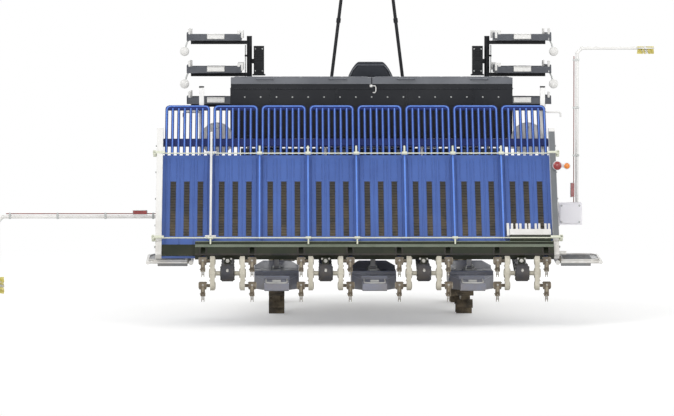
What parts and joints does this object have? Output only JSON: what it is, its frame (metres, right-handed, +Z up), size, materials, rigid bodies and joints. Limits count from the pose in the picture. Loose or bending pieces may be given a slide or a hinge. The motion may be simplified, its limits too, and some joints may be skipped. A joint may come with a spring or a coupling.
{
  "type": "riding rice transplanter",
  "caption": "Riding rice transplanter with lugged wheels, a sloping blue seedling table over rotary planting units, a fertiliser hopper, spare seedling racks and folding line markers",
  "frame": {"origin": "middle of the standing machine's footprint box, at floor level", "axes": "+X to the machine's right, +Y forward, +Z up"},
  "size_m": [4.1373, 3.1669, 2.467],
  "materials": {
    "frame_grey": "satin",
    "cast_grey": "matt",
    "engine_dark": "matt",
    "step_plastic": "matt, ribbed",
    "cover_white": "satin",
    "dark_plastic": "matt",
    "seat_vinyl": "satin vinyl",
    "blue_plastic": "satin",
    "lens": "clear",
    "lug_rubber": "matt",
    "wheel_steel": "satin",
    "rod_chrome": "polished",
    "white_paint": "satin",
    "case_charcoal": "satin",
    "float_grey": "matt",
    "gate_dark": "satin",
    "alloy": "cast",
    "arm_grey": "satin",
    "zinc": "plated"
  },
  "bodies": {
    "chassis": {"chassis_frame": "frame_grey", "front_axle": "cast_grey", "rear_axle": "cast_grey", "engine_block": "engine_dark", "gearbox": "cast_grey", "step_floor": "step_plastic", "seat_deck": "cover_white", "dashboard": "dark_plastic", "seat_cushion": "seat_vinyl", "seat_back": "seat_vinyl", "rack_frames": "frame_grey", "rack_trays": "dark_plastic", "guidance_arch": "frame_grey", "receiver": "cover_white", "hopper": "dark_plastic", "metering_units": "dark_plastic", "front_guard": "frame_grey"},
    "bonnet": {"bonnet": "blue_plastic", "headlamps": "lens"},
    "lid_left": {"hopper_lid_left": "dark_plastic"},
    "lid_right": {"hopper_lid_right": "dark_plastic"},
    "steering_wheel": {"steering_wheel": "dark_plastic"},
    "knuckle_left": {"knuckle_left": "cast_grey"},
    "knuckle_right": {"knuckle_right": "cast_grey"},
    "tie_rod": {"tie_rod": "zinc"},
    "front_wheel_left": {"front_tyre_left": "lug_rubber", "front_rim_left": "wheel_steel"},
    "front_wheel_right": {"front_tyre_right": "lug_rubber", "front_rim_right": "wheel_steel"},
    "rear_wheel_left": {"rear_tyre_left": "lug_rubber", "rear_rim_left": "wheel_steel"},
    "rear_wheel_right": {"rear_tyre_right": "lug_rubber", "rear_rim_right": "wheel_steel"},
    "lower_links": {"lower_links": "frame_grey"},
    "upper_link": {"upper_link": "frame_grey"},
    "lift_cylinder": {"lift_cylinder": "frame_grey"},
    "lift_rod": {"lift_rod": "rod_chrome"},
    "planting_section": {"planting_frame": "white_paint", "planting_cases": "case_charcoal", "floats": "float_grey", "side_guards": "white_paint", "gate_rail": "gate_dark", "table_carrier": "white_paint", "marker_boxes": "cover_white"},
    "seedling_table": {"table_board": "blue_plastic", "table_dividers": "blue_plastic", "table_slats": "blue_plastic", "table_sides": "cover_white", "mat_rods": "zinc"},
    "rotors": {"planting_rotors": "alloy"},
    "arms_a": {"planting_arms_a": "arm_grey"},
    "arms_b": {"planting_arms_b": "arm_grey"},
    "marker_left": {"marker_left": "white_paint"},
    "marker_right": {"marker_right": "white_paint"}
  },
  "joints": [
    {"name": "steer_left", "type": "hinge", "parent": "chassis", "child": "knuckle_left", "pos_m": [-0.18625, 1.0665, 0.42], "axis": [0, 0, 1], "range_deg": [-40, 40]},
    {"name": "steer_right", "type": "hinge", "parent": "chassis", "child": "knuckle_right", "pos_m": [0.77375, 1.0665, 0.42], "axis": [0, 0, 1], "range_deg": [-41, 41]},
    {"name": "tie_pivot", "type": "hinge", "parent": "knuckle_left", "child": "tie_rod", "pos_m": [-0.18625, 0.9465, 0.386], "axis": [0, 0, 1], "range_deg": [-41, 41]},
    {"name": "steering_wheel_turn", "type": "hinge", "parent": "chassis", "child": "steering_wheel", "pos_m": [0.29375, 0.71701, 1.29721], "axis": [0, -0.5299, 0.848], "range_deg": [-325, 325]},
    {"name": "front_left_spin", "type": "hinge", "parent": "knuckle_left", "child": "front_wheel_left", "pos_m": [-0.30625, 1.0665, 0.32032], "axis": [1, 0, 0], "continuous": true},
    {"name": "front_right_spin", "type": "hinge", "parent": "knuckle_right", "child": "front_wheel_right", "pos_m": [0.89375, 1.0665, 0.32032], "axis": [1, 0, 0], "continuous": true},
    {"name": "rear_left_spin", "type": "hinge", "parent": "chassis", "child": "rear_wheel_left", "pos_m": [-0.30625, -0.1135, 0.4704], "axis": [1, 0, 0], "continuous": true},
    {"name": "rear_right_spin", "type": "hinge", "parent": "chassis", "child": "rear_wheel_right", "pos_m": [0.89375, -0.1135, 0.4704], "axis": [1, 0, 0], "continuous": true},
    {"name": "lift", "type": "hinge", "parent": "chassis", "child": "lower_links", "pos_m": [0.29375, -0.3035, 0.4], "axis": [-1, 0, 0], "range_deg": [-15, 40]},
    {"name": "upper_link_pivot", "type": "hinge", "parent": "chassis", "child": "upper_link", "pos_m": [0.29375, -0.3035, 0.62], "axis": [-1, 0, 0], "range_deg": [-16, 41]},
    {"name": "section_pivot", "type": "hinge", "parent": "lower_links", "child": "planting_section", "pos_m": [0.29375, -0.8435, 0.4], "axis": [-1, 0, 0], "range_deg": [-41, 16]},
    {"name": "cylinder_pivot", "type": "hinge", "parent": "chassis", "child": "lift_cylinder", "pos_m": [0.29375, -0.2885, 0.76], "axis": [-1, 0, 0], "range_deg": [-6, 14]},
    {"name": "rod_slide", "type": "slide", "parent": "lift_cylinder", "child": "lift_rod", "axis": [0, -0.6207, -0.784], "range_m": [-0.17, 0.07]},
    {"name": "table_travel", "type": "slide", "parent": "planting_section", "child": "seedling_table", "axis": [1, 0, 0], "range_m": [-0.035, 0.245]},
    {"name": "rotor_spin", "type": "hinge", "parent": "planting_section", "child": "rotors", "pos_m": [0.29375, -1.5335, 0.33], "axis": [1, 0, 0], "continuous": true},
    {"name": "arms_a_spin", "type": "hinge", "parent": "rotors", "child": "arms_a", "pos_m": [0.29375, -1.5335, 0.405], "axis": [1, 0, 0], "continuous": true},
    {"name": "arms_b_spin", "type": "hinge", "parent": "rotors", "child": "arms_b", "pos_m": [0.29375, -1.5335, 0.255], "axis": [1, 0, 0], "continuous": true},
    {"name": "marker_left_fold", "type": "hinge", "parent": "planting_section", "child": "marker_left", "pos_m": [-0.99625, -0.6735, 0.64], "axis": [0, 1, 0], "range_deg": [0, 90]},
    {"name": "marker_right_fold", "type": "hinge", "parent": "planting_section", "child": "marker_right", "pos_m": [1.58375, -0.6735, 0.64], "axis": [0, 1, 0], "range_deg": [0, 90]},
    {"name": "lid_left_open", "type": "hinge", "parent": "chassis", "child": "lid_left", "pos_m": [-0.15025, -0.2815, 1.492], "axis": [-1, 0, 0], "range_deg": [0, 90]},
    {"name": "lid_right_open", "type": "hinge", "parent": "chassis", "child": "lid_right", "pos_m": [0.73775, -0.2815, 1.492], "axis": [-1, 0, 0], "range_deg": [0, 90]},
    {"name": "bonnet_open", "type": "hinge", "parent": "chassis", "child": "bonnet", "pos_m": [0.29375, 0.9555, 1.194], "axis": [1, 0, 0], "range_deg": [0, 60]}
  ],
  "couplings": [
    {"joint": "steer_right", "follows": "steer_left", "ratio": 1},
    {"joint": "tie_pivot", "follows": "steer_left", "ratio": -1},
    {"joint": "steering_wheel_turn", "follows": "steer_left", "ratio": 8},
    {"joint": "upper_link_pivot", "follows": "lift", "ratio": 1},
    {"joint": "section_pivot", "follows": "lift", "ratio": -1},
    {"joint": "cylinder_pivot", "follows": "lift", "ratio": 0.325},
    {"joint": "rod_slide", "follows": "lift", "m_per_rad": -0.231},
    {"joint": "arms_a_spin", "follows": "rotor_spin", "ratio": -1},
    {"joint": "arms_b_spin", "follows": "rotor_spin", "ratio": -1}
  ]
}
